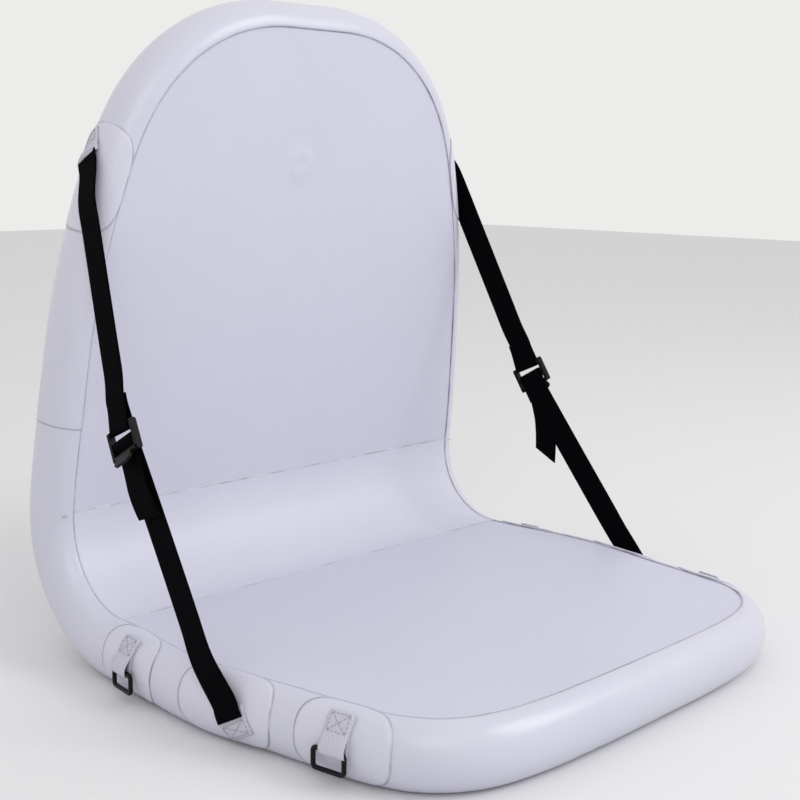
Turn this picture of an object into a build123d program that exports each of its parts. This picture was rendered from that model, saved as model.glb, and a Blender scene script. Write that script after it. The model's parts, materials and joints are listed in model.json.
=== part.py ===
from build123d import *
import os
from math import asin, atan2, degrees, sqrt

# Inflatable drop-stitch kayak seat. Millimetres, +Z up, seat front towards -Y,
# symmetric about X = 0. "left" is the sitter's left, which is the +X side.

# ---- driving dimensions ----------------------------------------------------
thickness = 50.0            # drop-stitch air chamber, over the skins
skin = 1.0                  # coated fabric
tape_bulge = 20.0           # how far the side tape stands out from the face seam
edge_radius = 19.0          # rounding of the inflated edge

seat_length = 329.0         # front face seam to the start of the bend
bend_radius = 65.0          # inner face of the bend
bend_turn = 97.0            # degrees from the seat to the backrest
bend_half_width = 221.0     # face seam to the centre line, along the bend
back_length = 392.0         # end of the bend to the top face seam

webbing_width = 25.0
webbing_thickness = 1.5
tab_thickness = 1.4         # white anchor webbing
patch_thickness = 0.9
patch_width = 72.0
patch_height = 44.0
patch_corner = 14.0
strap_patch_width = 80.0
strap_patch_shift = 8.0     # patch centre past the strap's end, along the strap
tab_width = 38.0
tab_height = 26.0

front_ring_at = 82.0        # along the seat from the front face seam
rear_ring_at = 291.0
lower_anchor_at = 172.0
upper_anchor_at = 268.0     # along the backrest from the end of the bend
lower_stand_off = 6.8       # tape surface to the middle of the strap
upper_stand_off = 13.0
strap_sag = 22.0            # the slack strap's dip at the buckle
buckle_share = 0.497        # buckle's place along the strap, from the seat
slot_play = 0.4             # strap to tab, each side of its thickness
slot_side_play = 3.0        # strap to tab, each side of its width

ring_rod = 3.5
ring_inner_width = 22.0
ring_inner_height = 10.5
ring_corner = 2.7
ring_play = 0.15
loop_width = 20.0           # white webbing round the ring

bar_radius = 1.9
rail_width = 3.2
rail_play = 2.0             # webbing edge to the rail
buckle_pitch = 10.5         # grip bar to the sewn bar
buckle_lower_pitch = 9.5    # grip bar to the lower bar
lift_tab_length = 9.0
wrap_play = 0.25
buckle_edge = 1.6
lift_tab_angle = 32.0
lift_tab_thickness = 2.2
tail_gap = 1.0
tail_length = 58.0
sewn_length = 24.0          # upper strap folded back on itself at the buckle

valve_at = 279.0            # along the backrest from the end of the bend
valve_barrel_radius = 13.0
valve_wall = 2.0
valve_depth = 36.0
valve_flange_radius = 23.0
valve_flange_thickness = 3.0
valve_gasket_thickness = 1.2
valve_collar_height = 9.0
valve_cap_wall = 2.2
valve_cap_play = 0.3
valve_hole_play = 0.3
valve_cap_top = 2.0
valve_grip_height = 2.4
valve_web_at = 17.0         # below the rear face
valve_web_thickness = 3.0
valve_lip = 3.0
valve_travel = 5.0
stem_radius = 2.3
stem_play = 0.3
stem_button_radius = 4.5
stem_button_at = 3.0
spring_wire = 0.9
spring_turns = 5

# ---- places that follow ------------------------------------------------------
axis_z = thickness + bend_radius
mid_z = thickness / 2
bend_axis = Axis((0, 0, axis_z), (1, 0, 0))
to_back = Pos(0, 0, axis_z) * Rot(bend_turn, 0, 0) * Pos(0, 0, -axis_z)


def seat_seam():
    """Half of the seat's face seam, from the front centre to the bend."""
    w = bend_half_width
    n = seat_length
    side = [(0, -n), (w - 150, -n + 0.6), (w - 96, -n + 4), (w - 50, -n + 17), (w - 24, -n + 42),
            (w - 13, -n + 79), (w - 2, -0.55 * n), (w + 8, -0.33 * n), (w + 3, -0.13 * n), (w, 0)]
    return Spline(*side, tangents=((1, 0), (0, 1)))


def back_seam():
    """Half of the backrest's face seam, from the bend to the top centre."""
    w = bend_half_width
    n = back_length
    side = [(w, 0), (w - 5, 0.22 * n), (w - 13, 0.43 * n), (w - 31, 0.64 * n),
            (w - 61, n - 67), (w - 109, n - 21), (w - 171, n - 1), (0, n)]
    return Spline(*side, tangents=((0, 1), (-1, 0)))


def grown(seam, grow):
    """The seam curve moved outwards by grow, kept tangent at both ends."""
    steps = 18
    points = []
    for i in range(steps + 1):
        along = seam % (i / steps)
        points.append((seam @ (i / steps)) + Vector(along.Y, -along.X) * grow)
    return Spline(*points, tangents=(seam % 0, seam % 1))


def slab(seam, grow, z_low, z_high, radius):
    """A rounded panel on both sides of the centre line, cut square at the bend."""
    half = grown(seam, grow)
    ends = sorted([half @ 0, half @ 1], key=lambda p: abs(p.Y))
    joint = Line((-ends[0].X, 0), (ends[0].X, 0))
    face = make_face([half, mirror(half, about=Plane.YZ), joint])
    body = extrude(Pos(0, 0, z_low) * face, z_high - z_low)
    if radius == 0:
        return body
    rims = [e for e in body.edges()
            if abs(e.center().Y) > 1 and abs(e.bounding_box().size.Z) < 0.01]
    return fillet(rims, radius)


def panel(seam):
    """The core, face skins and side tape of a flat panel."""
    core = slab(seam, tape_bulge - skin, skin, thickness - skin, edge_radius - skin)
    outer = slab(seam, tape_bulge, 0, thickness, edge_radius)
    shell = outer - core
    upper = shell & slab(seam, 0, mid_z, thickness + skin, 0)
    lower = shell & slab(seam, 0, -skin, mid_z, 0)
    tape = shell - slab(seam, 0, -skin, thickness + skin, 0)
    return core, upper, lower, tape


def bend_section(grow):
    """The inflated section across the bend, with its rounded ends."""
    width = 2 * (bend_half_width + tape_bulge - skin + grow)
    height = thickness - 2 * (skin - grow)
    return RectangleRounded(width, height, edge_radius - skin + grow)


def bend_pieces():
    """The curved core, the inner and outer face strips and the two side tapes."""
    section = bend_section(skin) - bend_section(0)
    strip = Rectangle(2 * bend_half_width, 2 * thickness)
    faces = section & strip
    tapes = section - strip
    upright = Pos(0, 0, mid_z) * Rot(90, 0, 0)
    made = {"bend_core": bend_section(0)}
    made["bend_front_strip"] = [f for f in faces.faces() if f.center().Y > 0][0]
    made["bend_rear_strip"] = [f for f in faces.faces() if f.center().Y < 0][0]
    made["bend_tape_left"] = [f for f in tapes.faces() if f.center().X > 0][0]
    made["bend_tape_right"] = [f for f in tapes.faces() if f.center().X < 0][0]
    return {name: revolve(upright * face, bend_axis, bend_turn) for name, face in made.items()}


def side_frame(seam, y, stand_off=0.0):
    """Point on the side tape at mid height, and its plane: x outwards, y along, z up."""
    edge = grown(seam, tape_bulge)
    low = 0.0
    high = 1.0
    for _ in range(40):
        middle = (low + high) / 2
        if (edge @ middle).Y < y:
            low = middle
        else:
            high = middle
    along = edge % low
    outward = Vector(along.Y, -along.X, 0)
    point = (edge @ low) + Vector(0, 0, mid_z) + outward * stand_off
    return Plane(origin=point, x_dir=outward, z_dir=(0, 0, 1))


def patch(frame, width, shell):
    """A rounded patch that lies on the side tape."""
    outline = RectangleRounded(width, patch_height, patch_corner)
    face = frame.location * Pos(-tape_bulge, 0, 0) * (Plane.YZ * outline)
    return extrude(face, 2 * tape_bulge, dir=frame.x_dir) & shell


def ring_centre():
    """Distance from the tape surface to the ring's bar."""
    return patch_thickness + tab_thickness + ring_play + ring_rod / 2 + 0.1


def d_ring(frame):
    """A rectangular ring that hangs from its loop."""
    width = ring_inner_width + ring_rod
    height = ring_inner_height + ring_rod
    path = Plane.YZ * RectangleRounded(width, height, ring_corner)
    rod = Plane(origin=(0, 0, height / 2), z_dir=(0, 1, 0)) * Circle(ring_rod / 2)
    ring = sweep(rod, path=path.wires()[0])
    return frame.location * Pos(ring_centre(), 0, -height / 2) * ring


def ring_loop(frame, cover_body):
    """Webbing folded round the ring's bar and sewn to the patch above it."""
    inner = ring_rod / 2 + ring_play
    outer = inner + tab_thickness
    tube = Cylinder(outer, loop_width) - Cylinder(inner, loop_width)
    tube = Pos(ring_centre(), 0, 0) * Rot(90, 0, 0) * tube
    plies_out = patch_thickness + 2 * tab_thickness
    leg = Pos((plies_out - 10) / 2, 0, inner + 9) * Box(plies_out + 10, loop_width, 18)
    web_low = Pos((plies_out + 0.6) / 2, 0, outer) * Box(plies_out - 0.6, loop_width, 3)
    web_low = web_low - Pos(ring_centre(), 0, 0) * Rot(90, 0, 0) * Cylinder(inner, loop_width + 2)
    return frame.location * (tube + leg + web_low) - cover_body


def strap_layout():
    """Plane of the left strap, from the seat anchor, with its buckle and end points."""
    low = side_frame(seat_seam(), lower_anchor_at - seat_length, lower_stand_off).origin
    high = (to_back * side_frame(back_seam(), upper_anchor_at, upper_stand_off).location).position
    rise = (high - low).normalized()
    across = Vector(1, 0, 0)
    outward = (across - rise * across.dot(rise)).normalized()
    plane = Plane(origin=low, x_dir=rise, z_dir=outward)
    return plane, (high - low).length


def run_strip(start, end, level, overrun_start=0.0, overrun_end=0.0):
    """A flat strip of webbing between two points of the strap plane."""
    line = Vector(*end) - Vector(*start)
    turn = degrees(atan2(line.Y, line.X))
    length = line.length + overrun_start + overrun_end
    strip = Box(length, webbing_width, webbing_thickness)
    strip = Pos(length / 2 - overrun_start, 0, level) * strip
    return Pos(start[0], start[1], 0) * Rot(0, 0, turn) * strip


def ply(x, z, rise_to, length):
    """A strip of webbing that starts at (x, z) and ends at the level rise_to."""
    climb = rise_to - z
    slope = sqrt(length ** 2 + climb ** 2)
    turn = degrees(atan2(climb, length))
    strip = Pos(slope / 2, 0, 0) * Box(slope, webbing_width, webbing_thickness)
    return Pos(x, 0, z) * Rot(0, -turn, 0) * strip


def half_wrap(centre_x, side):
    """Webbing folded half round a bar, on the bar's +x (1) or -x (-1) side."""
    inner = bar_radius + wrap_play
    reach = 4 * inner
    half = (Circle(inner + webbing_thickness) - Circle(inner)) & (
        Pos(side * reach / 2, 0) * Rectangle(reach, 2 * reach))
    return Pos(centre_x, webbing_width / 2, 0) * extrude(Rot(90, 0, 0) * half, webbing_width)


def fold_level():
    """From a bar's middle to the middle of the webbing folded round it."""
    return bar_radius + wrap_play + webbing_thickness / 2


def tail_level():
    """The tail passes between the seat run and the lower bar."""
    return tail_gap + webbing_thickness - fold_level()


def lower_bar_level():
    """The lower bar stands out, so that the tail passes behind it."""
    return tail_level() + webbing_thickness / 2 + wrap_play + bar_radius


def buckle_body():
    """Ladder lock about its grip bar: x along the strap, z away from the seat."""
    inside = webbing_width / 2 + rail_play
    length = buckle_pitch + buckle_lower_pitch + 2 * bar_radius
    height = 2 * bar_radius + lower_bar_level() / 2
    rail = Box(length, rail_width, height)
    rail = fillet(rail.edges().filter_by(Axis.Y), buckle_edge)
    rail = Pos((buckle_pitch - buckle_lower_pitch) / 2, 0, lower_bar_level() / 4) * rail
    bar = Rot(90, 0, 0) * Cylinder(bar_radius, 2 * inside + rail_width)
    lower = Pos(-buckle_lower_pitch, 0, lower_bar_level())
    tab = Pos(-lift_tab_length / 2, 0, 0) * Box(lift_tab_length, 2 * inside - 8, lift_tab_thickness)
    tab = fillet(tab.edges().filter_by(Axis.Z).sort_by(Axis.X)[:2], 3)
    body = bar + Pos(buckle_pitch, 0, 0) * bar + lower * bar
    body = body + lower * Pos(0, 0, 0.6) * Rot(0, lift_tab_angle, 0) * tab
    for side in (-1, 1):
        body = body + Pos(0, side * (inside + rail_width / 2), 0) * rail
    return body


def strap_tail(hang_turn):
    """The free end: over the grip bar, behind the lower bar, then hanging."""
    flat_end = -1.2
    ramp_run = -0.68 * buckle_lower_pitch
    hang_at = -2 * buckle_lower_pitch
    level = tail_level()
    tail = ply(flat_end, fold_level(), fold_level(), -flat_end)
    tail = tail + Rot(0, 0, 180) * ply(-flat_end, fold_level(), level, -ramp_run)
    flat_length = -hang_at + ramp_run + flat_end
    tail = tail + Pos(hang_at, 0, 0) * ply(0, level, level, flat_length)
    tail = tail + Pos(hang_at, 0, level) * Cylinder(webbing_width / 2, webbing_thickness)
    strip = Pos(-tail_length / 2, 0, 0) * Box(tail_length, webbing_width, webbing_thickness)
    return tail + Pos(hang_at, 0, level) * Rot(0, 0, hang_turn) * strip


def buckle_frame(plane, length):
    """Where the grip bar lies in the strap plane."""
    x = buckle_share * length
    lean = degrees(atan2(-strap_sag, x))
    lift = degrees(atan2(strap_sag, length - x))
    return Pos(x, -strap_sag, fold_level()) * Rot(0, 0, (lean + lift) / 2)


def strap_pieces():
    """The left strap in its plane: seat run, tail, backrest run and ladder lock."""
    plane, length = strap_layout()
    lock = buckle_frame(plane, length)
    grip = lock.position
    bar = (lock * Pos(buckle_pitch, 0, 0)).position
    lower = run_strip((0, 0), (grip.X, grip.Y), 0, overrun_start=tab_height / 2 - 1)
    lower = lower + lock * half_wrap(0, 1)
    down = plane.to_local_coords(plane.origin + Vector(0, 0, -1))
    hang_turn = degrees(atan2(down.Y, down.X)) + 180 - lock.orientation.Z
    lift = degrees(atan2(-bar.Y, length - bar.X))
    upper = run_strip((bar.X, bar.Y), (length, 0), fold_level(), 3 - sewn_length, tab_height / 2 - 1)
    fold = Pos(bar) * Rot(0, 0, lift)
    for side in (-1, 1):
        upper = upper + fold * ply(0, side * fold_level(), side * webbing_thickness / 4, sewn_length)
    upper = upper + lock * half_wrap(buckle_pitch, -1)
    made = {"strap_lower": lower, "strap_tail": lock * strap_tail(hang_turn),
            "strap_upper": upper, "buckle": lock * buckle_body()}
    return {name: plane.location * piece for name, piece in made.items()}


def strap_tab(at, level, stand_off, cover_body):
    """White webbing sewn over the strap's end: a bridge with a slot for the strap."""
    plane, length = strap_layout()
    top = level + webbing_thickness / 2 + slot_play + tab_thickness
    deep = stand_off + tape_bulge / 2
    block = Box(tab_height, tab_width, top + deep)
    block = Pos(at * length, 0, (top - deep) / 2) * block
    slot = Box(3 * tab_height, webbing_width + 2 * slot_side_play, webbing_thickness + 2 * slot_play)
    slot = Pos(at * length, 0, level) * slot
    return plane.location * (block - slot) - cover_body


def lathe(points):
    """A solid turned about Z from (radius, height) points."""
    return revolve(Plane.XZ * make_face(Polyline(*points, close=True)), Axis.Z)


def valve_pieces():
    """Push valve with a screw cap; z = 0 is the rear face, +z points out of it."""
    r = valve_barrel_radius
    bore = r - valve_wall
    low = -valve_depth
    seat_top = low + valve_wall
    web_top = -valve_web_at
    web_low = web_top - valve_web_thickness
    guide = stem_radius + stem_play
    flange_low = valve_gasket_thickness
    flange_top = flange_low + valve_flange_thickness
    collar = valve_collar_height + flange_low
    rim = valve_flange_radius
    body = lathe([(r, low), (r, flange_low), (rim, flange_low), (rim, flange_top), (r, flange_top),
                  (r, collar), (bore, collar), (bore, web_top), (guide, web_top), (guide, web_low),
                  (bore, web_low), (bore, seat_top), (r - valve_wall - valve_lip, seat_top),
                  (r - valve_wall - valve_lip, low)])
    for hole in PolarLocations((bore + guide) / 2, 6):
        body = body - hole * Pos(0, 0, web_low) * Cylinder((bore - guide) / 2 - 1.4, 4 * valve_web_thickness)
    gasket = lathe([(r + 1, 0), (rim - 1, 0), (rim - 1, flange_low), (r + 1, flange_low)])
    button = -stem_button_at
    disc = low - 0.05
    plunger = lathe([(0, disc - 2.2), (bore - 1, disc - 2.2), (bore - 1, disc), (stem_radius, disc),
                     (stem_radius, button), (stem_button_radius, button),
                     (stem_button_radius, button + 2), (0, button + 2)])
    coil = (stem_radius + stem_button_radius) / 2 + 0.15
    height = button - web_top - spring_wire
    path = Helix(height / spring_turns, height, coil)
    wire = Plane(origin=path @ 0, z_dir=path % 0) * Circle(spring_wire / 2)
    spring = Pos(0, 0, web_top + spring_wire / 2) * sweep(wire, path=path, is_frenet=True)
    inner = r + valve_cap_play
    outer = inner + valve_cap_wall
    cap_low = flange_top + valve_cap_play
    roof = collar + valve_cap_play
    cap = lathe([(inner, cap_low), (outer, cap_low), (outer, roof + valve_cap_top),
                 (0, roof + valve_cap_top), (0, roof), (inner, roof)])
    grip = Box(1.5 * outer, 4, valve_grip_height)
    grip = fillet(grip.edges().filter_by(Axis.Z), 1.5)
    cap = cap + Pos(0, 0, roof + valve_cap_top + valve_grip_height / 2) * grip
    return {"valve_body": body, "valve_gasket": gasket, "valve_plunger": plunger,
            "valve_spring": spring, "valve_cap": cap}


def valve_pocket():
    """Clearance for the valve through the rear skin and into the air chamber."""
    depth = valve_depth + valve_travel + 4
    radius = valve_barrel_radius + valve_hole_play
    return Pos(0, 0, -depth / 2 + skin) * Cylinder(radius, depth + 2 * skin)


def cover(seam):
    """The panel with patches all over it, as a solid to cut patches and tabs from."""
    grow = patch_thickness
    return slab(seam, tape_bulge + grow, -grow, thickness + grow, edge_radius + grow)


def side_pieces():
    """Everything on the sitter's left side."""
    made = {}
    seat = seat_seam()
    seat_cover = cover(seat)
    seat_body = slab(seat, tape_bulge, 0, thickness, edge_radius)
    seat_shell = seat_cover - seat_body
    for place, at in (("front", front_ring_at), ("rear", rear_ring_at)):
        frame = side_frame(seat, at - seat_length)
        made["ring_patch_" + place] = patch(frame, patch_width, seat_shell)
        made["ring_loop_" + place] = ring_loop(frame, seat_cover)
        made["d_ring_" + place] = d_ring(frame)
    low = side_frame(seat, lower_anchor_at + strap_patch_shift - seat_length)
    made["strap_patch_lower"] = patch(low, strap_patch_width, seat_shell)
    made["strap_tab_lower"] = strap_tab(0, 0, lower_stand_off, seat_cover)
    back = back_seam()
    back_cover = cover(back)
    back_body = slab(back, tape_bulge, 0, thickness, edge_radius)
    high = side_frame(back, upper_anchor_at - strap_patch_shift)
    made["strap_patch_upper"] = to_back * patch(high, strap_patch_width, back_cover - back_body)
    made["strap_tab_upper"] = strap_tab(1, fold_level(), upper_stand_off, to_back * back_cover)
    made.update(strap_pieces())
    return made


def all_pieces():
    """Every node of the seat, by name."""
    made = {}
    names = ("core", "front_skin", "rear_skin", "side_tape")
    rear = Pos(0, valve_at, 0) * Rot(180, 0, 0)
    for part_name, seam, place in (("seat", seat_seam(), Pos(0, 0, 0)), ("backrest", back_seam(), to_back)):
        for name, piece in zip(names, panel(seam)):
            if part_name == "backrest" and name in ("core", "rear_skin"):
                piece = piece - rear * valve_pocket()
            made[part_name + "_" + name] = place * piece
    made["seat_top_skin"] = made.pop("seat_front_skin")
    made["seat_bottom_skin"] = made.pop("seat_rear_skin")
    made.update(bend_pieces())
    for name, piece in valve_pieces().items():
        made[name] = to_back * rear * piece
    for name, piece in side_pieces().items():
        made[name + "_left"] = piece
        made[name + "_right"] = mirror(piece, about=Plane.YZ)
    return made


def main():
    pieces = all_pieces()
    low = min(piece.bounding_box().min.Y for piece in pieces.values())
    high = max(piece.bounding_box().max.Y for piece in pieces.values())
    to_origin = Pos(0, -(low + high) / 2, 0)
    os.makedirs("parts", exist_ok=True)
    for name, piece in pieces.items():
        export_step(to_origin * piece, os.path.join("parts", name + ".step"))
    print("moved along Y by", round(-(low + high) / 2, 4), "nodes", len(pieces))


if __name__ == "__main__":
    main()
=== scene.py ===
import json
from math import asin, cos, pi, radians, sin, tau
import bpy
import numpy as np
from mathutils import Matrix, Vector, noise


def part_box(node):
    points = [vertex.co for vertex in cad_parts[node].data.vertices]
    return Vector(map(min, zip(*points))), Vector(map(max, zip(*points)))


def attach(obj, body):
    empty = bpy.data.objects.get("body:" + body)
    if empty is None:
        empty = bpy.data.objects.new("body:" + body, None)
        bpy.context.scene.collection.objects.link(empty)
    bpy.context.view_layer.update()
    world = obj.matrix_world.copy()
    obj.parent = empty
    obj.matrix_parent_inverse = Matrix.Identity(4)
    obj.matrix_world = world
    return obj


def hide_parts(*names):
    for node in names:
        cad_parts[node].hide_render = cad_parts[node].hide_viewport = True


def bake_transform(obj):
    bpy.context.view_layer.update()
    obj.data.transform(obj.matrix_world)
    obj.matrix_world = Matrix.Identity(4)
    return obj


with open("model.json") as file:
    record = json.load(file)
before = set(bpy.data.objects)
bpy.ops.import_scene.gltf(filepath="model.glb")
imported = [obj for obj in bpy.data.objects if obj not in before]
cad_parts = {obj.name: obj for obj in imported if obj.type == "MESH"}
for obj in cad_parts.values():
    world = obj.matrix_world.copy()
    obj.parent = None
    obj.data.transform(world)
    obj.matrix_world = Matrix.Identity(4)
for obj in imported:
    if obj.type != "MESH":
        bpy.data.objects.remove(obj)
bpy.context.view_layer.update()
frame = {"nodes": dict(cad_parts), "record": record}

bpy.ops.object.select_all(action="DESELECT")

# ---- sizes, in metres ----------------------------------------------------------
MM = 0.001
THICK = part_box("seat_side_tape")[1][2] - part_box("seat_side_tape")[0][2]
BEND_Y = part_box("seat_top_skin")[1][1]
BULGE = 20 * MM             # the tape stands out this far from the face seam
HALF = THICK / 2
BEND_R = 65 * MM            # inner face of the bend
TURN = radians(97)          # seat to backrest
SEAT_LEN = BEND_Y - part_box("seat_top_skin")[0][1]
BACK_LEN = 392 * MM
BEND_W = 221 * MM
BEND_LEN = BEND_R * TURN
FACE_DROP = 0.9 * MM        # face fabric lies this far under the tape's edge
STRIP_DROP = 0.45 * MM
CLOTH = 0.8 * MM
PATCH = 0.8 * MM
WEB_W = 25 * MM
WEB_T = 1.5 * MM
RING_ROD = 3.5 * MM
STRAP_LEN = 429.4 * MM
STRAP_SAG = 22 * MM
FOLD = 2.9 * MM             # a bar's middle to the webbing folded round it
BAR_PITCH = 10.5 * MM
VALVE_AT = 279 * MM
INNER_WAY = Vector((0, -0.6, 0.8))    # out of the front face, about half way round the bend
joints = {j["name"]: j for j in frame["record"]["behaviour"]["joints"]}


# ---- the panel's shape -------------------------------------------------------------
def smooth_curve(knots, start, end, step):
    """A clamped cubic spline through knots, resampled evenly: points and unit directions."""
    p = np.array(knots, float)
    n = len(p)
    t = np.concatenate([[0], np.cumsum(np.linalg.norm(np.diff(p, axis=0), axis=1))])
    h = np.diff(t)
    a = np.zeros((n, n))
    b = np.zeros((n, 2))
    a[0, 0] = a[-1, -1] = 1
    b[0], b[-1] = start, end
    for i in range(1, n - 1):
        a[i, i - 1:i + 2] = h[i], 2 * (h[i - 1] + h[i]), h[i - 1]
        b[i] = 3 * (h[i] * (p[i] - p[i - 1]) / h[i - 1] + h[i - 1] * (p[i + 1] - p[i]) / h[i])
    m = np.linalg.solve(a, b)
    fine = np.linspace(0, t[-1], 4000)
    k = np.clip(np.searchsorted(t, fine, side="right") - 1, 0, n - 2)
    w = ((fine - t[k]) / h[k])[:, None]
    hk = h[k][:, None]
    q = ((2 * w**3 - 3 * w**2 + 1) * p[k] + (w**3 - 2 * w**2 + w) * hk * m[k]
         + (3 * w**2 - 2 * w**3) * p[k + 1] + (w**3 - w**2) * hk * m[k + 1])
    run = np.concatenate([[0], np.cumsum(np.linalg.norm(np.diff(q, axis=0), axis=1))])
    even = np.linspace(0, run[-1], max(2, int(round(run[-1] / step)) + 1))
    q = np.column_stack([np.interp(even, run, q[:, 0]), np.interp(even, run, q[:, 1])])
    d = np.gradient(q, axis=0)
    return q, d / np.linalg.norm(d, axis=1)[:, None]


def half_outline(step):
    """The face seam on the +X side, as (x, s) from the front centre to the top centre."""
    w, n, m = BEND_W, SEAT_LEN, BACK_LEN
    seat = [(0, -n), (w - 150 * MM, -n + 0.6 * MM), (w - 96 * MM, -n + 4 * MM), (w - 50 * MM, -n + 17 * MM),
            (w - 24 * MM, -n + 42 * MM), (w - 13 * MM, -n + 79 * MM), (w - 2 * MM, -0.55 * n),
            (w + 8 * MM, -0.33 * n), (w + 3 * MM, -0.13 * n), (w, 0)]
    back = [(w, 0), (w - 5 * MM, 0.22 * m), (w - 13 * MM, 0.43 * m), (w - 31 * MM, 0.64 * m),
            (w - 61 * MM, m - 67 * MM), (w - 109 * MM, m - 21 * MM), (w - 171 * MM, m - 1 * MM), (0, m)]
    front, front_way = smooth_curve(seat, (1, 0), (0, 1), step)
    rear, rear_way = smooth_curve(back, (0, 1), (-1, 0), step)
    steps = int(round(BEND_LEN / step))
    bend = np.column_stack([np.full(steps - 1, w), np.arange(1, steps) * BEND_LEN / steps])
    points = np.vstack([front, bend, rear + [0, BEND_LEN]])
    ways = np.vstack([front_way, np.tile([0.0, 1.0], (steps - 1, 1)), rear_way])
    return points, np.column_stack([ways[:, 1], -ways[:, 0]])


def panel_point(x, s, depth):
    """A point of the bent panel: s along its front face, depth below that face."""
    x, s, depth = np.broadcast_arrays(x, s, depth)
    a = np.clip(s / BEND_R, 0, TURN)
    r = BEND_R + depth
    before = np.minimum(s, 0)
    after = np.maximum(s - BEND_LEN, 0)
    y = BEND_Y + r * np.sin(a) + before + after * cos(TURN)
    z = THICK + BEND_R - r * np.cos(a) + after * sin(TURN)
    return np.stack([x, y, z], axis=-1)


SEAM, SEAM_OUT = half_outline(4 * MM)
TOP = SEAM[-1, 1]           # the top of the backrest's seam
LOOP = np.vstack([SEAM, (SEAM * [-1, 1])[-2:0:-1]])
LOOP_OUT = np.vstack([SEAM_OUT, (SEAM_OUT * [-1, 1])[-2:0:-1]])
LOOP_RUN = np.concatenate([[0], np.cumsum(np.linalg.norm(np.diff(LOOP, axis=0), axis=1))])
LOOP_LENGTH = LOOP_RUN[-1] + np.linalg.norm(LOOP[0] - LOOP[-1])

EDGE_ANGLES = np.linspace(0, pi, 721)
EDGE_ROUND = np.column_stack([BULGE * np.sin(EDGE_ANGLES), HALF * (1 - np.cos(EDGE_ANGLES))])
EDGE_RUN = np.concatenate([[0], np.cumsum(np.linalg.norm(np.diff(EDGE_ROUND, axis=0), axis=1))])
GIRTH = EDGE_RUN[-1]


def tape_point(run, around, lift):
    """A point on the side tape: run along the seam loop, around it from mid height, lift outwards."""
    run = np.asarray(run, float) % LOOP_LENGTH
    closed_run = np.append(LOOP_RUN, LOOP_LENGTH)
    at = [np.interp(run, closed_run, np.append(LOOP[:, k], LOOP[0, k])) for k in (0, 1)]
    out = [np.interp(run, closed_run, np.append(LOOP_OUT[:, k], LOOP_OUT[0, k])) for k in (0, 1)]
    angle = np.interp(np.asarray(around, float) + GIRTH / 2, EDGE_RUN, EDGE_ANGLES)
    normal_out = np.sin(angle) / BULGE
    normal_up = np.cos(angle) / HALF
    size = np.hypot(normal_out, normal_up)
    reach = BULGE * np.sin(angle) + lift * normal_out / size
    depth = HALF * (1 - np.cos(angle)) - lift * normal_up / size
    return panel_point(at[0] + out[0] * reach, at[1] + out[1] * reach, depth)


def tape_uneven(run, around):
    """How far the inflated tape swells or puckers at a place."""
    run = np.asarray(run, float) % LOOP_LENGTH
    around = np.asarray(around, float)
    ring = np.minimum(run, LOOP_LENGTH - run)
    side = np.where(run < LOOP_LENGTH / 2, 1, -1)
    edge = np.maximum(GIRTH / 2 - np.abs(around), 0)
    pucker = 0.3 * MM * wander(ring, side * 30 * MM, 3, 13 * MM) * np.exp(-edge / (8 * MM))
    soft = 0.4 * MM * wander(ring, around + side * 90 * MM, 8, 45 * MM) * np.minimum(1, edge / (6 * MM))
    past = (LAP_RUN - run) / LAP_FADE
    lap = np.where((past > 0) & (past < 1), 0.45 * MM * (1 - past), 0)
    return pucker + soft + lap


def tape_surface(run, around, lift):
    """A point over the uneven tape."""
    return tape_point(run, around, lift + tape_uneven(run, around))


def on_side(side, s, ahead, up, lift):
    """A point over the side tape: ahead along the panel from s, up towards the front face."""
    return tape_surface(run_at(side, s) + side * np.asarray(ahead, float), -np.asarray(up, float), lift)


def run_at(side, s):
    """Where the seam loop passes s, on the +X (1) or -X (-1) side."""
    run = np.interp(s, SEAM[:, 1], LOOP_RUN[:len(SEAM)])
    return run if side > 0 else LOOP_LENGTH - run


LAP_RUN = run_at(-1, BEND_LEN + 69 * MM)
LAP_FADE = 60 * MM          # the lapped end swells the tape this far


def wander(a, b, seed, size):
    """Smooth unevenness from -1 to 1 over two lengths, with bumps about size across."""
    a, b = np.broadcast_arrays(a, b)
    pairs = zip(a.ravel() / size, b.ravel() / size)
    values = [noise.noise(Vector((p, q, seed))) for p, q in pairs]
    return np.array(values).reshape(a.shape)


# ---- mesh and material helpers ---------------------------------------------------
def select_only(obj):
    """Makes one object the only selected and active one."""
    bpy.ops.object.select_all(action="DESELECT")
    obj.select_set(True)
    bpy.context.view_layer.objects.active = obj


def new_piece(name, points, faces, uvs, material):
    """A mesh object at the origin, with one UV pair for each point, in metres."""
    mesh = bpy.data.meshes.new(name)
    mesh.from_pydata([tuple(p) for p in np.asarray(points).reshape(-1, 3)], [], faces)
    layer = mesh.uv_layers.new(name="run")
    flat = np.asarray(uvs, float).reshape(-1, 2)
    index = np.empty(len(mesh.loops), int)
    mesh.loops.foreach_get("vertex_index", index)
    layer.data.foreach_set("uv", flat[index].ravel())
    mesh.materials.append(material)
    mesh.polygons.foreach_set("use_smooth", [True] * len(mesh.polygons))
    mesh.update()
    obj = bpy.data.objects.new(name, mesh)
    bpy.context.scene.collection.objects.link(obj)
    return obj


def grid_faces(rows, columns, wrap_rows=False, flip=False):
    """Quads over a rows by columns grid of points."""
    faces = []
    for i in range(rows if wrap_rows else rows - 1):
        j = (i + 1) % rows
        for k in range(columns - 1):
            quad = (i * columns + k, i * columns + k + 1, j * columns + k + 1, j * columns + k)
            faces.append(quad[::-1] if flip else quad)
    return faces


def apply_modifier(obj, kind, **settings):
    """Adds a modifier with its settings and applies it."""
    select_only(obj)
    modifier = obj.modifiers.new(kind.lower(), kind)
    for key, value in settings.items():
        setattr(modifier, key, value)
    bpy.ops.object.modifier_apply(modifier=modifier.name)


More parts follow.
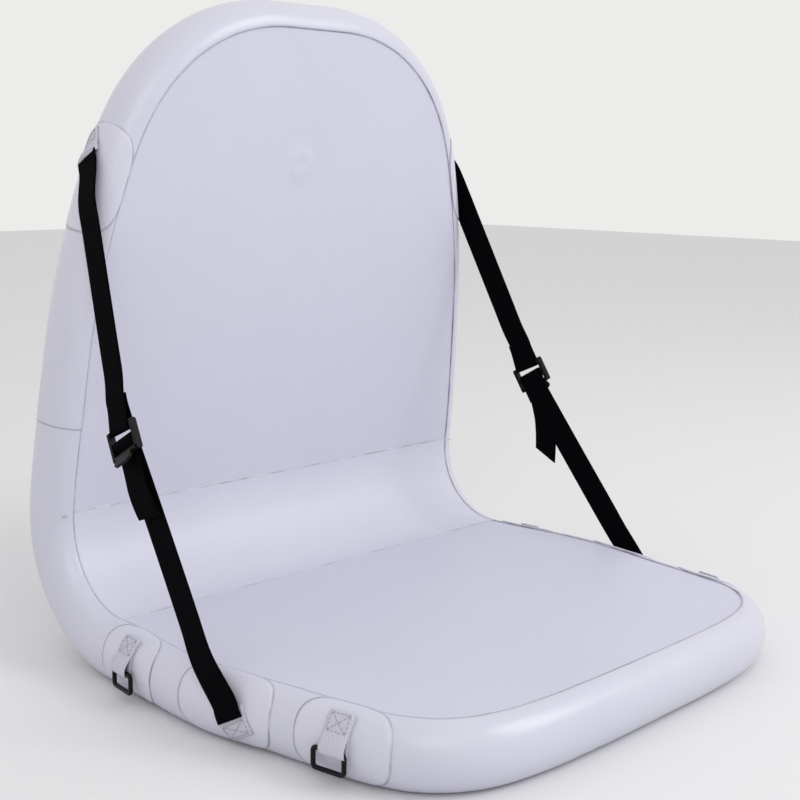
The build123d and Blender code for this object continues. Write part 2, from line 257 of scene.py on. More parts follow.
def thicken(obj, outward=None):
    """Gives a sheet its cloth thickness inwards; outward is its outer side, or away from the middle."""
    middle = Vector((0, BEND_Y - 70 * MM, 200 * MM))
    sense = sum(f.area * f.normal.dot(outward or (f.center - middle)) for f in obj.data.polygons)
    if sense < 0:
        obj.data.flip_normals()
    apply_modifier(obj, "SOLIDIFY", thickness=CLOTH, offset=-1)


def fix_normals(obj):
    """Joins doubled points and turns every face of a closed piece outwards."""
    select_only(obj)
    bpy.ops.object.mode_set(mode="EDIT")
    bpy.ops.mesh.select_all(action="SELECT")
    bpy.ops.mesh.remove_doubles(threshold=0.00001)
    bpy.ops.mesh.normals_make_consistent(inside=False)
    bpy.ops.object.mode_set(mode="OBJECT")


def linear(code):
    """An sRGB hex colour as linear RGBA."""
    parts = [int(code[i:i + 2], 16) / 255 for i in (1, 3, 5)]
    return [c / 12.92 if c <= 0.04045 else ((c + 0.055) / 1.055) ** 2.4 for c in parts] + [1.0]


def add_node(tree, kind, inputs=None, output=0, **settings):
    """Adds a shader node and returns one output. settings are the node's own choices; inputs gives
    its sockets, by name or number, a constant or another node's output."""
    node = tree.nodes.new("ShaderNode" + kind)
    for key, value in settings.items():
        setattr(node, key, value)
    for socket, value in (inputs or {}).items():
        if isinstance(value, bpy.types.NodeSocket):
            tree.links.new(value, node.inputs[socket])
        else:
            node.inputs[socket].default_value = value
    return node.outputs[output]


def start_material(name, **sockets):
    """A material with its Principled shader's sockets set."""
    made = bpy.data.materials.new(name)
    made.use_nodes = True
    shader = next(n for n in made.node_tree.nodes if n.type == "BSDF_PRINCIPLED")
    for key, value in sockets.items():
        shader.inputs[key.replace("_", " ")].default_value = value
    return made, made.node_tree, shader


# ---- materials ----------------------------------------------------------------------
GLUE_LINE = "#8A8895"       # dusty glue at a welded edge


def coated_fabric(name, base, shade, rough, coat, grain, line_at=(), line_width=1.2 * MM, evenness=-0.75,
                  lap_at=None):
    """PVC-coated polyester: the base cloth shows as fine grain and the colour drifts slowly. Thin
    broken glue lines run where the UV's second value is in line_at, and a lap's edge where its
    first is lap_at."""
    made, tree, shader = start_material(name, Roughness=rough, Coat_Weight=coat, Coat_Roughness=0.25,
                                        Specular_IOR_Level=0.45)
    place = add_node(tree, "TexCoord", output="Object")
    drift = add_node(tree, "TexNoise", {"Vector": place, "Scale": 9.0, "Detail": 2.0})
    fine = add_node(tree, "TexNoise", {"Vector": place, "Scale": 260.0, "Detail": 2.0})
    tint = add_node(tree, "Math", {0: drift, 1: 1.6, 2: -0.3}, operation="MULTIPLY_ADD", use_clamp=True)
    colour = add_node(tree, "Mix", {0: tint, 6: linear(base), 7: linear(shade)}, 2, data_type="RGBA")
    uv = add_node(tree, "UVMap", uv_map="run")
    marks = [("X", lap_at, 1.2 * MM, 0.75)] if lap_at else []
    if line_at:
        wobble = add_node(tree, "TexNoise", {"Vector": place, "Scale": 55.0, "Detail": 3.0})
        broken = add_node(tree, "Math", {0: wobble, 1: 2.6, 2: evenness}, operation="MULTIPLY_ADD",
                          use_clamp=True)
        marks = [("Y", edge, line_width, broken) for edge in line_at] + marks
    for axis, edge, width, strength in marks:
        run = add_node(tree, "SeparateXYZ", {"Vector": uv}, axis)
        off = add_node(tree, "Math", {0: run, 1: edge}, operation="SUBTRACT")
        off = add_node(tree, "Math", {0: off}, operation="ABSOLUTE")
        off = add_node(tree, "Math", {0: off, 1: width}, operation="DIVIDE")
        near = add_node(tree, "Math", {0: 1.0, 1: off}, operation="SUBTRACT", use_clamp=True)
        mark = add_node(tree, "Math", {0: near, 1: strength}, operation="MULTIPLY", use_clamp=True)
        colour = add_node(tree, "Mix", {0: mark, 6: colour, 7: linear(GLUE_LINE)}, 2, data_type="RGBA")
    height = add_node(tree, "Math", {0: fine, 1: grain}, operation="MULTIPLY")
    bump = add_node(tree, "Bump", {"Height": height, "Distance": 0.4 * MM, "Strength": 0.5})
    tree.links.new(colour, shader.inputs["Base Color"])
    tree.links.new(bump, shader.inputs["Normal"])
    return made


def webbing(name, base, shade, rough, shine=0.2):
    """Flat woven webbing: ribs across it and a diagonal twill. Real ones are about 0.8 mm apart,
    drawn 1.6 mm apart so that they show."""
    made, tree, shader = start_material(name, Roughness=rough, Specular_IOR_Level=shine)
    uv = add_node(tree, "UVMap", uv_map="run")
    turns = tau / (1.6 * MM)
    run = add_node(tree, "SeparateXYZ", {"Vector": uv}, "X")
    side = add_node(tree, "SeparateXYZ", {"Vector": uv}, "Y")
    along = add_node(tree, "Math", {0: run, 1: turns}, operation="MULTIPLY")
    across = add_node(tree, "Math", {0: side, 1: turns}, operation="MULTIPLY")
    slope = add_node(tree, "Math", {0: along, 1: 0.5}, operation="MULTIPLY")
    slope = add_node(tree, "Math", {0: across, 1: slope}, operation="ADD")
    rib = add_node(tree, "Math", {0: along}, operation="SINE")
    yarn = add_node(tree, "Math", {0: slope}, operation="SINE")
    crossing = add_node(tree, "Math", {0: rib, 1: yarn}, operation="MULTIPLY")
    weave = add_node(tree, "Math", {0: crossing, 1: 0.5, 2: 0.5}, operation="MULTIPLY_ADD")
    # the shade colour goes where the weave dips: painted shade in its valleys, for the white and the black
    # webbing alike
    colour = add_node(tree, "Mix", {0: weave, 6: linear(shade), 7: linear(base)}, 2, data_type="RGBA")
    bump = add_node(tree, "Bump", {"Height": weave, "Distance": 0.3 * MM, "Strength": 0.8})
    tree.links.new(colour, shader.inputs["Base Color"])
    tree.links.new(bump, shader.inputs["Normal"])
    return made


def moulded(name, base, lighter, rough, grain=0.3, shine=0.5):
    """Injection-moulded plastic: satin, a little cloudy, with a fine spark-eroded texture."""
    made, tree, shader = start_material(name, Roughness=rough, Specular_IOR_Level=shine)
    place = add_node(tree, "TexCoord", output="Object")
    fine = add_node(tree, "TexNoise", {"Vector": place, "Scale": 900.0, "Detail": 2.0})
    cloud = add_node(tree, "TexNoise", {"Vector": place, "Scale": 60.0, "Detail": 2.0})
    worn = add_node(tree, "Math", {0: cloud, 1: 0.35}, operation="MULTIPLY")
    colour = add_node(tree, "Mix", {0: worn, 6: linear(base), 7: linear(lighter)}, 2, data_type="RGBA")
    bump = add_node(tree, "Bump", {"Height": fine, "Distance": 0.08 * MM, "Strength": grain})
    tree.links.new(colour, shader.inputs["Base Color"])
    tree.links.new(bump, shader.inputs["Normal"])
    return made


def steel(name):
    """Drawn stainless wire: bright, with small changes of tone from the drawing."""
    made, tree, shader = start_material(name, Metallic=1.0, Roughness=0.3)
    place = add_node(tree, "TexCoord", output="Object")
    fine = add_node(tree, "TexNoise", {"Vector": place, "Scale": 700.0})
    colour = add_node(tree, "Mix", {0: fine, 6: linear("#A9ABAE"), 7: linear("#D0D2D4")}, 2, data_type="RGBA")
    tree.links.new(colour, shader.inputs["Base Color"])
    return made


# matt PVC-coated drop-stitch cloth, pale lilac-grey
FACE = coated_fabric("pvc_coated_face_fabric", "#C9C8D9", "#CCCBDB", 0.52, 0.0, 1.0)
# the same PVC as a welded cross strip: smoother, with a glue line along each edge
STRIP = coated_fabric("pvc_bend_strip", "#CCCBDB", "#CFCEDD", 0.45, 0.05, 0.8, line_at=(0.0, BEND_LEN))
# calendered PVC tape: glossier than the faces, because it is rolled smooth
TAPE = coated_fabric("pvc_side_tape", "#C8C7D7", "#CDCCDA", 0.32, 0.3, 0.5, line_at=(0.0, GIRTH),
                     lap_at=LAP_RUN)
# welded PVC patch: as the tape, a shade lighter, outlined by its glue
PATCH_PVC = coated_fabric("pvc_patch", "#CBCAD9", "#D0CFDD", 0.34, 0.25, 0.5, line_at=(0.0,),
                          line_width=1.4 * MM, evenness=-0.7)
# white polyester webbing, matt, with painted shade in the valleys between its ribs
WHITE_WEB = webbing("white_polyester_webbing", "#D6D5E0", "#B4B3C2", 0.6)
# black polypropylene webbing: nearly no shine, the weave only just shows
BLACK_WEB = webbing("black_polypropylene_webbing", "#09090D", "#030304", 0.7, 0.02)
# black nylon buckle, satin from its mould
BLACK_NYLON = moulded("black_moulded_nylon", "#050507", "#111113", 0.42, shine=0.12)
# black nylon rings, polished by rubbing against webbing
RING_NYLON = moulded("black_glossy_nylon", "#040406", "#101012", 0.3, 0.15, 0.2)
# grey moulded valve plastic, satin
VALVE_GREY = moulded("grey_valve_plastic", "#4A4B50", "#56575C", 0.4)
# black rubber washer, dull
VALVE_RUBBER = moulded("black_valve_rubber", "#141416", "#202022", 0.7)
# bright drawn stainless wire
SPRING_STEEL = steel("stainless_spring_wire")
# bonded polyester thread, grey so that it shows on white webbing
THREAD = moulded("grey_sewing_thread", "#9A99A8", "#A6A5B4", 0.6)


# ---- where the backrest bends away from the seat ---------------------------------
def over_bend(piece):
    """Bakes a piece's transform into its mesh; nothing is split off to turn with the recline."""
    outer = Vector(panel_point(0.0, BEND_LEN, 0.0))
    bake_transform(piece)


# ---- air panel skins -----------------------------------------------------------------
def row_places(low, high):
    """Rows across the panel between two places: closer where the outline turns in."""
    inside = SEAM[(SEAM[:, 1] > low) & (SEAM[:, 1] < high)]
    kept = inside[inside[:, 0] > 45 * MM][:, 1]
    return np.unique(np.concatenate([[low], np.round(kept, 5), [high]]))


def face_sheet(name, low, high, depth, seed, node, bump=None, drop=FACE_DROP):
    """A face fabric sheet between two places along the panel, tucked under the tape."""
    front = depth < HALF
    level = depth + drop if front else depth - drop
    under = 3 * MM
    grown = SEAM + SEAM_OUT * under
    if low > -SEAT_LEN:
        grown[:, 1] = np.maximum(grown[:, 1], low)
    if high < TOP:
        grown[:, 1] = np.minimum(grown[:, 1], high)
    first = max(low, grown[:, 1].min() + 0.1 * MM)
    last = min(high, grown[:, 1].max() - 0.1 * MM)
    rows = row_places(first, last)
    widths = np.interp(rows, *np.array(sorted(map(tuple, grown[:, ::-1]))).T)
    columns = 121
    u = np.linspace(-1, 1, columns)
    x = widths[:, None] * u[None, :]
    s = np.repeat(rows[:, None], columns, axis=1)
    uneven = 0.25 * MM * wander(x, s, seed, 70 * MM) + 0.12 * MM * wander(x, s, seed + 5, 22 * MM)
    if bump is not None:
        uneven = uneven + bump(x, s)
    level = level - uneven if front else level + uneven
    points = panel_point(x, s, level)
    uvs = np.stack([x, s], axis=-1)
    piece = new_piece(name, points, grid_faces(len(rows), columns, flip=front), uvs, FACE)
    thicken(piece, INNER_WAY if front else -INNER_WAY)
    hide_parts(node)
    return piece


def valve_mark(x, s):
    """The valve's inner end shows through the front face as a faint ring."""
    away = np.hypot(x + 7 * MM, s - BEND_LEN - VALVE_AT)
    ring = np.exp(-((away - 10 * MM) / (3.4 * MM)) ** 2)
    return 0.9 * MM * ring + 0.5 * MM * np.exp(-(away / (14 * MM)) ** 4)


def bend_strip(name, depth, seed, node):
    """The cross strip that covers the bend, on its inner or outer face, its ends under the tape."""
    front = depth < HALF
    level = depth + STRIP_DROP if front else depth - STRIP_DROP
    rows = np.linspace(-1 * MM, BEND_LEN + 1 * MM, 45)
    u = np.linspace(-1, 1, 121)
    x = (BEND_W + 1.5 * MM) * np.repeat(u[None, :], len(rows), axis=0)
    s = np.repeat(rows[:, None], len(u), axis=1)
    uneven = 0.3 * MM * wander(x, s, seed, 40 * MM)
    points = panel_point(x, s, level - uneven if front else level + uneven)
    piece = new_piece(name, points, grid_faces(len(rows), len(u), flip=front), np.stack([x, s], -1), STRIP)
    thicken(piece, INNER_WAY if front else -INNER_WAY)
    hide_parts(node)
    over_bend(piece)
    return piece


def side_tape():
    """One band of tape round the whole edge, with a lapped end joint on the sitter's right."""
    around = np.linspace(-GIRTH / 2, GIRTH / 2, 33)
    run, turn = np.meshgrid(LOOP_RUN, around, indexing="ij")
    points = tape_surface(run, turn, 0)
    points[..., 2] = np.maximum(points[..., 2], 0.0)
    uvs = np.stack([run, turn + GIRTH / 2], axis=-1)
    faces = grid_faces(len(LOOP_RUN), len(around), wrap_rows=True, flip=True)
    piece = new_piece("side_tape", points, faces, uvs, TAPE)
    thicken(piece)
    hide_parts("seat_side_tape", "bend_tape_left", "bend_tape_right", "backrest_side_tape",
                "seat_core", "bend_core", "backrest_core")
    over_bend(piece)
    return piece


LAP = 3 * MM                # a face sheet reaches this far under the bend strip
seat_top = face_sheet("seat_top_fabric", -SEAT_LEN, LAP, 0.0, 11, "seat_top_skin")
back_front = face_sheet("backrest_front_fabric", BEND_LEN - LAP, TOP, 0.0, 12, "backrest_front_skin",
                        bump=valve_mark)
seat_bottom = face_sheet("seat_bottom_fabric", -SEAT_LEN, LAP, THICK, 13, "seat_bottom_skin", drop=0.3 * MM)
back_rear = face_sheet("backrest_rear_fabric", BEND_LEN - LAP, TOP, THICK, 14, "backrest_rear_skin")
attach(seat_top, "seat")
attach(seat_bottom, "seat")
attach(back_front, "backrest")
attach(back_rear, "backrest")
strip_front = bend_strip("bend_front_strip_cloth", 0.0, 15, "bend_front_strip")
strip_rear = bend_strip("bend_rear_strip_cloth", THICK, 16, "bend_rear_strip")
tape = side_tape()


# ---- patches ------------------------------------------------------------------------
PATCH_TALL = 62 * MM
PATCH_DOWN = 4.5 * MM       # a patch's middle is this far towards the front face


def patch(name, side, s, width, body, node):
    """A rounded patch welded over the tape."""
    middle = run_at(side, s)
    spokes, rings = 72, 14
    angle = np.linspace(0, tau, spokes, endpoint=False)
    corner = (np.abs(np.cos(angle)) ** 3.2 + np.abs(np.sin(angle)) ** 3.2) ** (-1 / 3.2)
    points, uvs = [], []
    for level in (PATCH, 0.0):
        for k in range(rings + 1):
            r = k / rings
            along = middle + r * corner * np.cos(angle) * width / 2
            around = r * corner * np.sin(angle) * PATCH_TALL / 2 - PATCH_DOWN
            rim = PATCH * 0.35 if (k == rings and level) else 0
            points.append(tape_surface(along, around, level - rim))
            uvs.append(np.stack([along, (1 - r) * np.full(spokes, min(width, PATCH_TALL) / 2)], -1))
    count = rings + 1

    def band(first, second):
        """Quads between two rings of points."""
        turns = [(i, (i + 1) % spokes) for i in range(spokes)]
        return [(first * spokes + i, first * spokes + j, second * spokes + j, second * spokes + i)
                for i, j in turns]

    faces = []
    for k in range(rings):
        faces += band(k, k + 1)
    for k in range(count, count + rings):
        faces += band(k, k + 1)
    faces += band(rings, count + rings)
    piece = new_piece(name, points, faces, uvs, PATCH_PVC)
    fix_normals(piece)
    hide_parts(node)
    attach(piece, body)
    return piece


SIDES = {"left": 1, "right": -1}
RING_AT = {"front": -SEAT_LEN + 82 * MM, "rear": -SEAT_LEN + 291 * MM}
STRAP_AT = {"lower": -SEAT_LEN + 180 * MM, "upper": BEND_LEN + 260 * MM}
for side_name, side in SIDES.items():
    for where, s in RING_AT.items():
        node = f"ring_patch_{where}_{side_name}"
        patch(f"{node}_pvc", side, s, 72 * MM, "seat", node)
    for (where, s), body in zip(STRAP_AT.items(), ("seat", "backrest")):
        node = f"strap_patch_{where}_{side_name}"
        patch(f"{node}_pvc", side, s, 84 * MM, body, node)


# ---- webbing ------------------------------------------------------------------------
def tube_faces(rows, count):
    """Quads along rows of count points each, closed round, with both ends capped."""
    faces = []
    for i in range(rows - 1):
        for k in range(count):
            m = (k + 1) % count
            faces.append((i * count + k, (i + 1) * count + k, (i + 1) * count + m, i * count + m))
    faces.append(tuple(range(count)))
    faces.append(tuple((rows - 1) * count + k for k in reversed(range(count))))
    return faces


def ribbon(name, centres, widths, end_slant=0.0):
    """Black webbing along a line of centres, with a width direction at each: closed, soft-edged."""
    along = np.gradient(centres, axis=0)
    along /= np.linalg.norm(along, axis=1)[:, None]
    widths = widths - along * np.sum(widths * along, axis=1)[:, None]
    widths /= np.linalg.norm(widths, axis=1)[:, None]
    normals = np.cross(along, widths)
    a, b = WEB_W / 2, WEB_T / 2
    flat = np.linspace(-a + b, a - b, 9)
    section = [(w, b) for w in flat] + [(a - 0.3 * b, 0.7 * b), (a, 0), (a - 0.3 * b, -0.7 * b)]
    section += [(w, -b) for w in flat[::-1]] + [(-a + 0.3 * b, -0.7 * b), (-a, 0), (-a + 0.3 * b, 0.7 * b)]
    run = np.concatenate([[0], np.cumsum(np.linalg.norm(np.diff(centres, axis=0), axis=1))])
    push = along * (end_slant * np.clip(1 - (run[-1] - run) / (26 * MM), 0, 1))[:, None]
    points = np.stack([centres + (widths + push) * w + normals * t for w, t in section], axis=1)
    uvs = np.array([[(r, w + (0.5 * MM if t < 0 else 0)) for w, t in section] for r in run])
    piece = new_piece(name, points, tube_faces(len(centres), len(section)), uvs, BLACK_WEB)
    fix_normals(piece)
    return piece


def eased(points, count):
    """A smooth line through given points (Catmull-Rom), evenly resampled."""
    p = np.array(points, float)
    p = np.vstack([2 * p[0] - p[1], p, 2 * p[-1] - p[-2]])
    out = []
    for i in range(1, len(p) - 2):
        t = np.linspace(0, 1, 24, endpoint=False)[:, None]
        out.append(0.5 * (2 * p[i] + (p[i + 1] - p[i - 1]) * t
                          + (2 * p[i - 1] - 5 * p[i] + 4 * p[i + 1] - p[i + 2]) * t**2
                          + (3 * p[i] - p[i - 1] - 3 * p[i + 1] + p[i + 2]) * t**3))
    q = np.vstack(out + [p[-2][None, :]])
    run = np.concatenate([[0], np.cumsum(np.linalg.norm(np.diff(q, axis=0), axis=1))])
    even = np.linspace(0, run[-1], count)
    return np.column_stack([np.interp(even, run, q[:, k]) for k in range(q.shape[1])])


def stitches(name, place, rows, body):
    """Short rounded stitches along rows of ((a, b), (a, b)); place(a, b, lift) is on the webbing."""
    size, pitch, sides = 0.34 * MM, 2.7 * MM, 6
    points, faces = [], []
    for start, end in rows:
        start, end = np.array(start, float), np.array(end, float)
        count = max(1, int(np.linalg.norm(end - start) / pitch))
        for i in range(count):
            base = len(points)
            a, b = (start + (end - start) * (i + k) / count for k in (0.12, 0.88))
            p, q = place(*a, 0.1 * MM), place(*b, 0.1 * MM)
            normal = place(*((a + b) / 2), 1.1 * MM) - place(*((a + b) / 2), 0.1 * MM)
            normal = normal / np.linalg.norm(normal)
            across = np.cross(normal, (q - p) / np.linalg.norm(q - p))
            for at, r in ((0, 0.4), (0.2, 1.0), (0.8, 1.0), (1, 0.4)):
                for spin in np.arange(sides) * tau / sides:
                    out = across * cos(spin) + normal * sin(spin) * 0.8
                    points.append(p + (q - p) * at + size * r * out)
            for ring in range(3):
                for k in range(sides):
                    m = (k + 1) % sides
                    at = base + ring * sides
                    faces.append((at + k, at + m, at + sides + m, at + sides + k))
            faces.append(tuple(base + k for k in reversed(range(sides))))
            faces.append(tuple(base + 3 * sides + k for k in range(sides)))
    piece = new_piece(name, points, faces, np.zeros((len(points), 2)), THREAD)
    fix_normals(piece)
    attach(piece, body)


def box_rows(low_a, high_a, half_width):
    """The four sides and the two diagonals of a sewn box."""
    a, b, c, d = (low_a, -half_width), (high_a, -half_width), (high_a, half_width), (low_a, half_width)
    return [(a, b), (b, c), (c, d), (d, a), (a, c), (b, d)]


def chart_ribbon(name, place, a_values, lifts, width, node, body):
    """White webbing that lies on a surface: rows at a_values, each at its own lift."""
    half = width / 2
    across = np.linspace(-half, half, 13)
    # the edges are half as thick as the middle
    thick = np.where(np.abs(across) > half - 0.1 * MM, 0.25, 0.5) * WHITE_T
    rows, uvs = [], []
    run = 0.0
    previous = None
    for a, lift in zip(a_values, lifts):
        middle = place(a, 0.0, lift)
        run += 0 if previous is None else np.linalg.norm(middle - previous)
        previous = middle
        upper = place(np.full(13, a), across, lift + thick)
        lower = place(np.full(13, a), across, lift - thick)
        rows.append(np.vstack([upper, lower[::-1]]))
        uvs.append([(run, b) for b in across] + [(run, b) for b in across[::-1]])
    piece = new_piece(name, np.array(rows), tube_faces(len(rows), 26), np.array(uvs), WHITE_WEB)
    fix_normals(piece)
    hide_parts(node)
    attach(piece, body)


# ---- ring loops -----------------------------------------------------------------------
WHITE_T = 1.4 * MM
LAID = PATCH + 0.75 * MM    # the middle of webbing laid flat on a patch
RING_OUT = PATCH + WHITE_T + 0.25 * MM + RING_ROD / 2


def ring_loop(where, side_name):
    """White webbing folded round the ring's bar and sewn above it."""
    node = f"ring_loop_{where}_{side_name}"

    def place(a, b, lift):
        return on_side(SIDES[side_name], RING_AT[where], b, a, lift)

    r = RING_ROD / 2 + 0.85 * MM
    turn = np.linspace(0, pi, 13)
    up = np.concatenate([np.linspace(24, 5, 9) * MM, [2 * MM], -r * np.sin(turn), [3 * MM, 6 * MM, 9 * MM],
                         np.linspace(12, 24, 7) * MM])
    out = np.concatenate([np.full(10, LAID), RING_OUT - r * np.cos(turn),
                          [RING_OUT + r, RING_OUT + r - 1.2 * MM, PATCH + 3.2 * MM],
                          np.full(7, LAID + WHITE_T)])
    chart_ribbon(f"{node}_webbing", place, up, out, 20 * MM, node, "seat")

    def sewn_place(a, b, more):
        return place(a, b, LAID + 1.5 * WHITE_T + more)

    stitches(f"{node}_stitches", sewn_place, box_rows(11.5 * MM, 22.5 * MM, 7.5 * MM), "seat")


# ---- straps -------------------------------------------------------------------------
TAB_AT = {"lower": -SEAT_LEN + 172 * MM, "upper": BEND_LEN + 268 * MM}
TAIL_LEN = {"left": 64 * MM, "right": 46 * MM}
TAIL_DROOP = {"left": 0.30, "right": 0.03}    # how soon the tail hangs straight down
TAIL_AHEAD = {"left": 0.0, "right": -0.07}
CLOSE_IN = 10.5 * MM        # the backrest run comes this much nearer the panel by its top


def strap_frame(side_name):
    """The strap's own axes: low anchor, buckle bar, along, across and outward directions."""
    low = np.array(joints[f"strap_swing_{side_name}"]["pos_m"], float)
    bar = np.array(joints[f"buckle_lift_{side_name}"]["pos_m"], float)
    across = np.array(joints[f"buckle_lift_{side_name}"]["axis"], float) * SIDES[side_name]
    across /= np.linalg.norm(across)
    plain = bar - low + STRAP_SAG * across
    plain -= across * plain.dot(across)
    lean = asin(FOLD / np.linalg.norm(plain)) * SIDES[side_name]
    plain /= np.linalg.norm(plain)
    along = cos(lean) * plain - sin(lean) * np.cross(plain, across)
    outward = np.cross(along, across) * SIDES[side_name]
    return low, bar, along, across, outward


def strap_place(side_name):
    """Returns place(x, y, z) over the strap's axes, the buckle's two bars on them, and its lean."""
    low, bar, along, across, outward = strap_frame(side_name)

    def place(x, y, z):
        x, y, z = (np.asarray(v, float)[..., None] for v in (x, y, z))
        return low + along * x + across * y + outward * z

    sewn = np.array([(bar - low).dot(along), (bar - low).dot(across)])
    upper = np.array([STRAP_LEN, 0]) - sewn
    lean = np.arctan2(sewn[1], sewn[0]) / 2 + np.arctan2(upper[1], upper[0]) / 2
    grip = sewn - BAR_PITCH * np.array([cos(lean), sin(lean)])
    return place, grip, sewn, lean


def tab_surface(where, side_name):
    """place(a, b, lift) over a tab's patch: a along the strap from where it leaves, b across it."""
    along = strap_frame(side_name)[2]
    if where == "lower":
        way = along[1:]
    else:
        way = -np.array([along.dot((0, cos(TURN), sin(TURN))), along.dot((0, -sin(TURN), cos(TURN)))])
    way = way / np.hypot(*way)

    def place(a, b, lift):
        a, b = np.asarray(a, float), np.asarray(b, float)
        ahead, up = a * way[0] - b * way[1], a * way[1] + b * way[0]
        return on_side(SIDES[side_name], TAB_AT[where], ahead, up, lift)

    return place


def strap_end(where, side_name, spots):
    """Centres of a strap's sewn end at (a, lift) spots of its tab, and its width direction there."""
    surface = tab_surface(where, side_name)
    centres = [surface(a, 0.0, lift) for a, lift in spots]
    a, lift = spots[0]
    width = surface(a, 1 * MM, lift) - centres[0]
    return centres, width / np.linalg.norm(width)


def seat_run(side_name):
    """The strap from its lower tab to the buckle's grip bar."""
    place, grip, _, _ = strap_place(side_name)
    low, _, _, across, _ = strap_frame(side_name)
    over = PATCH + 2.3 * MM
    spots = [(-2 * MM, over), (4 * MM, over), (11 * MM, over + 0.8 * MM)]
    centres, first = strap_end("lower", side_name, spots)
    x = np.linspace(42 * MM, grip[0], 7)
    slack = -0.6 * MM * np.sin(pi * x / grip[0])
    count = 90
    centres = eased(centres + list(place(x, grip[1] * (x / grip[0]), slack)), count)
    across = across if first.dot(across) > 0 else -across
    t = np.clip(np.linspace(0, 1, count) * 3.2, 0, 1)[:, None]
    piece = ribbon(f"strap_lower_{side_name}_webbing", centres, first * (1 - t) + across * t)
    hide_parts(f"strap_lower_{side_name}", f"strap_tail_{side_name}")
    Vector(low)
    Vector(place(grip[0], grip[1], 0.0))
    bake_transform(piece)


def free_tail(side_name):
    """The strap's tail: round the grip bar, behind the lower bar, then hanging free."""
    place, grip, _, lean = strap_place(side_name)
    _, _, along, across, outward = strap_frame(side_name)
    under = 2.5 * MM - FOLD
    local = [(-24 * MM, -FOLD), (-14 * MM, -FOLD), (-5 * MM, -FOLD)]
    local += [(FOLD * cos(a), FOLD * sin(a)) for a in np.linspace(-pi / 2, pi / 2, 11)]
    local += [(-2.2 * MM, 2.2 * MM), (-5 * MM, 0.4 * MM)] + [(u * MM, under) for u in (-8, -12, -17)]
    points = [place(grip[0] + u * cos(lean), grip[1] + u * sin(lean), FOLD + v) for u, v in local]
    slope = -(along * cos(lean) + across * sin(lean))
    pull = np.array([0, TAIL_AHEAD[side_name], -TAIL_DROOP[side_name]])
    heading, steps, count = slope, 8, 110
    for k in range(steps):
        swing = outward * (0.05 if k < 3 else -0.03)
        heading = heading * (1 - TAIL_DROOP[side_name]) + pull + swing
        heading = heading / np.linalg.norm(heading)
        points.append(points[-1] + heading * TAIL_LEN[side_name] / steps)
    widths = np.tile(np.cross(outward, slope), (count, 1))
    piece = ribbon(f"strap_tail_{side_name}_webbing", eased(points, count), widths, -0.5 * SIDES[side_name])
    bar, slope = Vector(place(grip[0], grip[1], FOLD)), Vector(slope)
    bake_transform(piece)


def back_run(side_name):
    """The strap folded round the buckle's sewn bar, then up to its upper tab."""
    place, _, sewn, _ = strap_place(side_name)
    _, _, along, across, _ = strap_frame(side_name)
    way = np.array([STRAP_LEN, 0]) - sewn
    reach = np.linalg.norm(way)
    way /= reach
    local = [(24 * MM, -0.9 * MM), (16 * MM, -1.0 * MM), (8 * MM, -1.9 * MM)]
    local += [(-FOLD * cos(a), FOLD * sin(a)) for a in np.linspace(-pi / 2, pi / 2, 11)]
    local += [(8 * MM, 1.9 * MM), (16 * MM, 1.0 * MM), (24 * MM, 0.8 * MM)]
    local += [(u, 0.4 * MM - CLOSE_IN * (u / reach)) for u in np.linspace(40 * MM, reach - 26 * MM, 7)]
    points = [place(sewn[0] + u * way[0], sewn[1] + u * way[1], FOLD + v) for u, v in local]
    under = PATCH + 1.3 * MM
    spots = [(-8 * MM, under), (-3 * MM, under), (6 * MM, under + 0.6 * MM)]
    ends, last = strap_end("upper", side_name, spots)
    count = 170
    straight = -way[1] * along + way[0] * across
    last = last if last.dot(straight) > 0 else -last
    run = np.linspace(0, 1, count)
    t = (0.65 * np.clip((run - 0.84) / 0.16, 0, 1) + 0.35 * np.clip((run - 0.94) / 0.04, 0, 1))[:, None]
    piece = ribbon(f"strap_upper_{side_name}_webbing", eased(points + ends[::-1], count),
                   straight * (1 - t) + last * t)
    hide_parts(f"strap_upper_{side_name}")
    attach(piece, f"strap_upper_{side_name}")


def strap_tab(where, side_name, body):
    """A white tab sewn to its patch: the lower one under its strap, the upper one over it."""
    surface = tab_surface(where, side_name)
    node = f"strap_tab_{where}_{side_name}"
    step_at = -14 * MM      # the upper tab rises here to pass over the strap
    if where == "lower":
        a_values = np.linspace(-16, 5, 12) * MM
        lifts = np.full(12, LAID)
        rows = box_rows(-13.9 * MM, -4.5 * MM, 11 * MM)
    else:
        a_values = np.concatenate([np.linspace(-27, -17, 5), [-15, -13.5, -12, -10, -8, -6.5]]) * MM
        lifts = [LAID] * 5 + [PATCH + 1.4 * MM] * 2 + [PATCH + 2.55 * MM] * 4
        rows = box_rows(-25.5 * MM, -16.5 * MM, 11 * MM) + [((-8.5 * MM, -12 * MM), (-8.5 * MM, 12 * MM))]
    chart_ribbon(f"{node}_webbing", surface, a_values, lifts, WEB_W + 2 * MM, node, body)

    def sewn_place(a, b, more):
        lift = LAID + WHITE_T / 2 if where == "lower" or a < step_at else PATCH + 3.2 * MM
        return surface(a, b, lift + more)

    stitches(f"{node}_stitches", sewn_place, rows, body)


for side_name in SIDES:
    for where in RING_AT:
        ring_loop(where, side_name)
for side_name in SIDES:
    seat_run(side_name)
    free_tail(side_name)
    back_run(side_name)
    strap_tab("lower", side_name, "seat")
    strap_tab("upper", side_name, "backrest")


# ---- hard pieces keep their own shape ---------------------------------------------
def finish_node(node, material):
    """Gives a CAD node's mesh its material."""
    piece = frame["nodes"][node]
    piece.data.materials.clear()
    piece.data.materials.append(material)


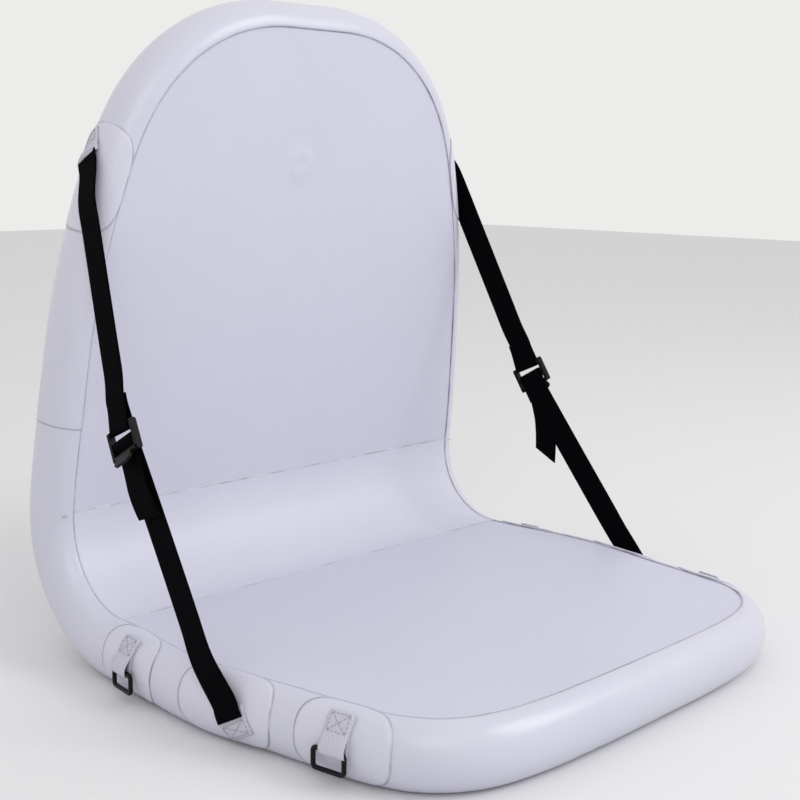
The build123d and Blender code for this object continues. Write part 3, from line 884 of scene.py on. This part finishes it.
for side_name in SIDES:
    finish_node(f"buckle_{side_name}", BLACK_NYLON)
    for where in RING_AT:
        finish_node(f"d_ring_{where}_{side_name}", RING_NYLON)
for node in ("valve_body", "valve_plunger", "valve_cap"):
    finish_node(node, VALVE_GREY)
finish_node("valve_gasket", VALVE_RUBBER)
finish_node("valve_spring", SPRING_STEEL)

# ---- floor, light and camera --------------------------------------------------------
scene = bpy.context.scene
scene.view_settings.view_transform = "Standard"
bpy.ops.mesh.primitive_plane_add(size=12, location=(0, 0, 0))
floor = bpy.context.object
floor.name = "floor"
# matt white studio paper
floor_paint, _, _ = start_material("white_studio_floor", Base_Color=linear("#E2E2E4"), Roughness=0.9,
                                   Specular_IOR_Level=0.1)
floor.data.materials.append(floor_paint)

world = bpy.data.worlds.new("studio")
scene.world = world
world.use_nodes = True
back = next(n for n in world.node_tree.nodes if n.type == "BACKGROUND")
back.inputs["Color"].default_value = linear("#FFFFFD")
back.inputs["Strength"].default_value = 0.84


def area_light(name, place, target, size, power):
    """A square lamp at place, facing target."""
    bpy.ops.object.light_add(type="AREA", location=place)
    lamp = bpy.context.object
    lamp.name = name
    lamp.data.size = size
    lamp.data.energy = power
    lamp.rotation_euler = (Vector(target) - Vector(place)).to_track_quat("-Z", "Y").to_euler()


area_light("key", (1.1, -1.7, 1.6), (0, 0, 0.2), 1.3, 19)
area_light("fill", (-1.4, -1.3, 1.5), (0, 0, 0.3), 1.2, 6)

azimuth, elevation, distance = radians(-45.6), radians(9.47), 1.15
aim = Vector((0, 0.0448, 0.2155))
away = Vector((sin(azimuth) * cos(elevation), -cos(azimuth) * cos(elevation), sin(elevation)))
bpy.ops.object.camera_add(location=aim + away * distance)
camera = bpy.context.object
camera.rotation_mode = "QUATERNION"
level = (-away).to_track_quat("-Z", "Y").to_matrix()
camera.rotation_quaternion = (level @ Matrix.Rotation(radians(0.65), 3, "Z")).to_quaternion()
camera.data.lens = 62
camera.data.shift_x = 0.012
camera.data.shift_y = -0.013
camera.data.clip_start = 0.05
scene.camera = camera
